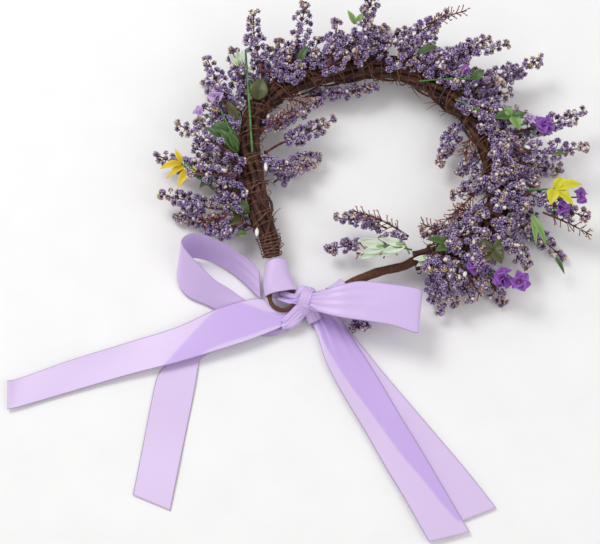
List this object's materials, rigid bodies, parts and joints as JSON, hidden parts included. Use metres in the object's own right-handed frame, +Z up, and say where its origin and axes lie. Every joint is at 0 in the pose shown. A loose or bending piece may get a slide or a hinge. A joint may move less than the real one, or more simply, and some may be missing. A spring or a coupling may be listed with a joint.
{
  "type": "flower crown",
  "caption": "Artificial lavender flower crown: a wound vine hoop, open at the back, with wire eyes tied by a satin ribbon bow with long tails.",
  "frame": {"origin": "middle of the head opening, on the plane that the crown lies on", "axes": "+Z up out of the head opening, +Y to the front of the crown away from the bow, +X to the right seen from above"},
  "size_m": [0.3728, 0.3674, 0.0497],
  "materials": {
    "core_wire": "plain drawn iron wire",
    "vine_bark": "dry dark brown vine with fibrous bark",
    "binding_wire": "thin brown paper covered wire",
    "paper_tape": "brown crepe floral tape wound on wire",
    "satin_ribbon": "single faced lilac satin with woven edges",
    "twig_plastic": "moulded reddish brown plastic twig",
    "lavender_granules": "violet granules with cream tips stuck on moulded spikes",
    "yellow_blossom": "moulded yellow blossom sprig",
    "green_leaf": "moulded green leaf sprig",
    "violet_blossom": "small violet blossoms",
    "white_blossom": "small pale green and white blossoms"
  },
  "bodies": {
    "hoop": {"binding_wire": "binding_wire", "lavender_bottom_1": "lavender_granules", "lavender_bottom_2": "lavender_granules", "lavender_inner_left_1": "lavender_granules", "lavender_inner_left_2": "lavender_granules", "lavender_left_1": "lavender_granules", "lavender_left_2": "lavender_granules", "lavender_left_3": "lavender_granules", "lavender_low_left_1": "lavender_granules", "lavender_low_left_2": "lavender_granules", "lavender_low_left_3": "lavender_granules", "lavender_low_right_1": "lavender_granules", "lavender_low_right_2": "lavender_granules", "lavender_right_1": "lavender_granules", "lavender_right_2": "lavender_granules", "lavender_right_3": "lavender_granules", "lavender_top_1": "lavender_granules", "lavender_top_2": "lavender_granules", "lavender_top_3": "lavender_granules", "lavender_top_left_1": "lavender_granules", "lavender_top_left_2": "lavender_granules", "lavender_upper_left_1": "lavender_granules", "lavender_upper_left_2": "lavender_granules", "lavender_upper_right_1": "lavender_granules", "lavender_upper_right_2": "lavender_granules", "leaf_sprig_left": "green_leaf", "left_eye": "paper_tape", "left_hitch": "satin_ribbon", "right_end_tape": "paper_tape", "right_eye": "paper_tape", "right_hitch": "satin_ribbon", "stem_bottom": "twig_plastic", "stem_inner_left": "twig_plastic", "stem_left": "twig_plastic", "stem_low_left": "twig_plastic", "stem_low_right": "twig_plastic", "stem_right": "twig_plastic", "stem_top": "twig_plastic", "stem_top_left": "twig_plastic", "stem_upper_left": "twig_plastic", "stem_upper_right": "twig_plastic", "vine_1": "vine_bark", "vine_2": "vine_bark", "vine_3": "vine_bark", "vine_4": "vine_bark", "vine_5": "vine_bark", "vine_6": "vine_bark", "violet_blossom_sprig": "violet_blossom", "white_blossom_sprig": "white_blossom", "wire_core": "core_wire", "yellow_sprig_left": "yellow_blossom", "yellow_sprig_right": "yellow_blossom"},
    "bow": {"bow_knot": "satin_ribbon", "bow_loop_left": "satin_ribbon", "bow_loop_right": "satin_ribbon"},
    "tail_a": {"tail_a": "satin_ribbon"},
    "tail_b": {"tail_b": "satin_ribbon"},
    "tail_c": {"tail_c": "satin_ribbon"},
    "tail_d": {"tail_d": "satin_ribbon"}
  },
  "joints": [
    {"name": "bow_swing", "type": "hinge", "parent": "hoop", "child": "bow", "pos_m": [-0.04458, -0.08747, 0.009], "axis": [1, 0, 0], "range_deg": [0, 90]},
    {"name": "tail_a_swing", "type": "hinge", "parent": "bow", "child": "tail_a", "pos_m": [-0.04458, -0.08747, 0.009], "axis": [0, 0, 1], "range_deg": [0, 40]},
    {"name": "tail_b_swing", "type": "hinge", "parent": "bow", "child": "tail_b", "pos_m": [-0.04458, -0.08747, 0.009], "axis": [0, 0, 1], "range_deg": [-8, 20]},
    {"name": "tail_c_swing", "type": "hinge", "parent": "bow", "child": "tail_c", "pos_m": [-0.04458, -0.08747, 0.009], "axis": [0, 0, 1], "range_deg": [-40, 5]},
    {"name": "tail_d_swing", "type": "hinge", "parent": "bow", "child": "tail_d", "pos_m": [-0.04458, -0.08747, 0.009], "axis": [0, 0, 1], "range_deg": [-20, 15]}
  ]
}
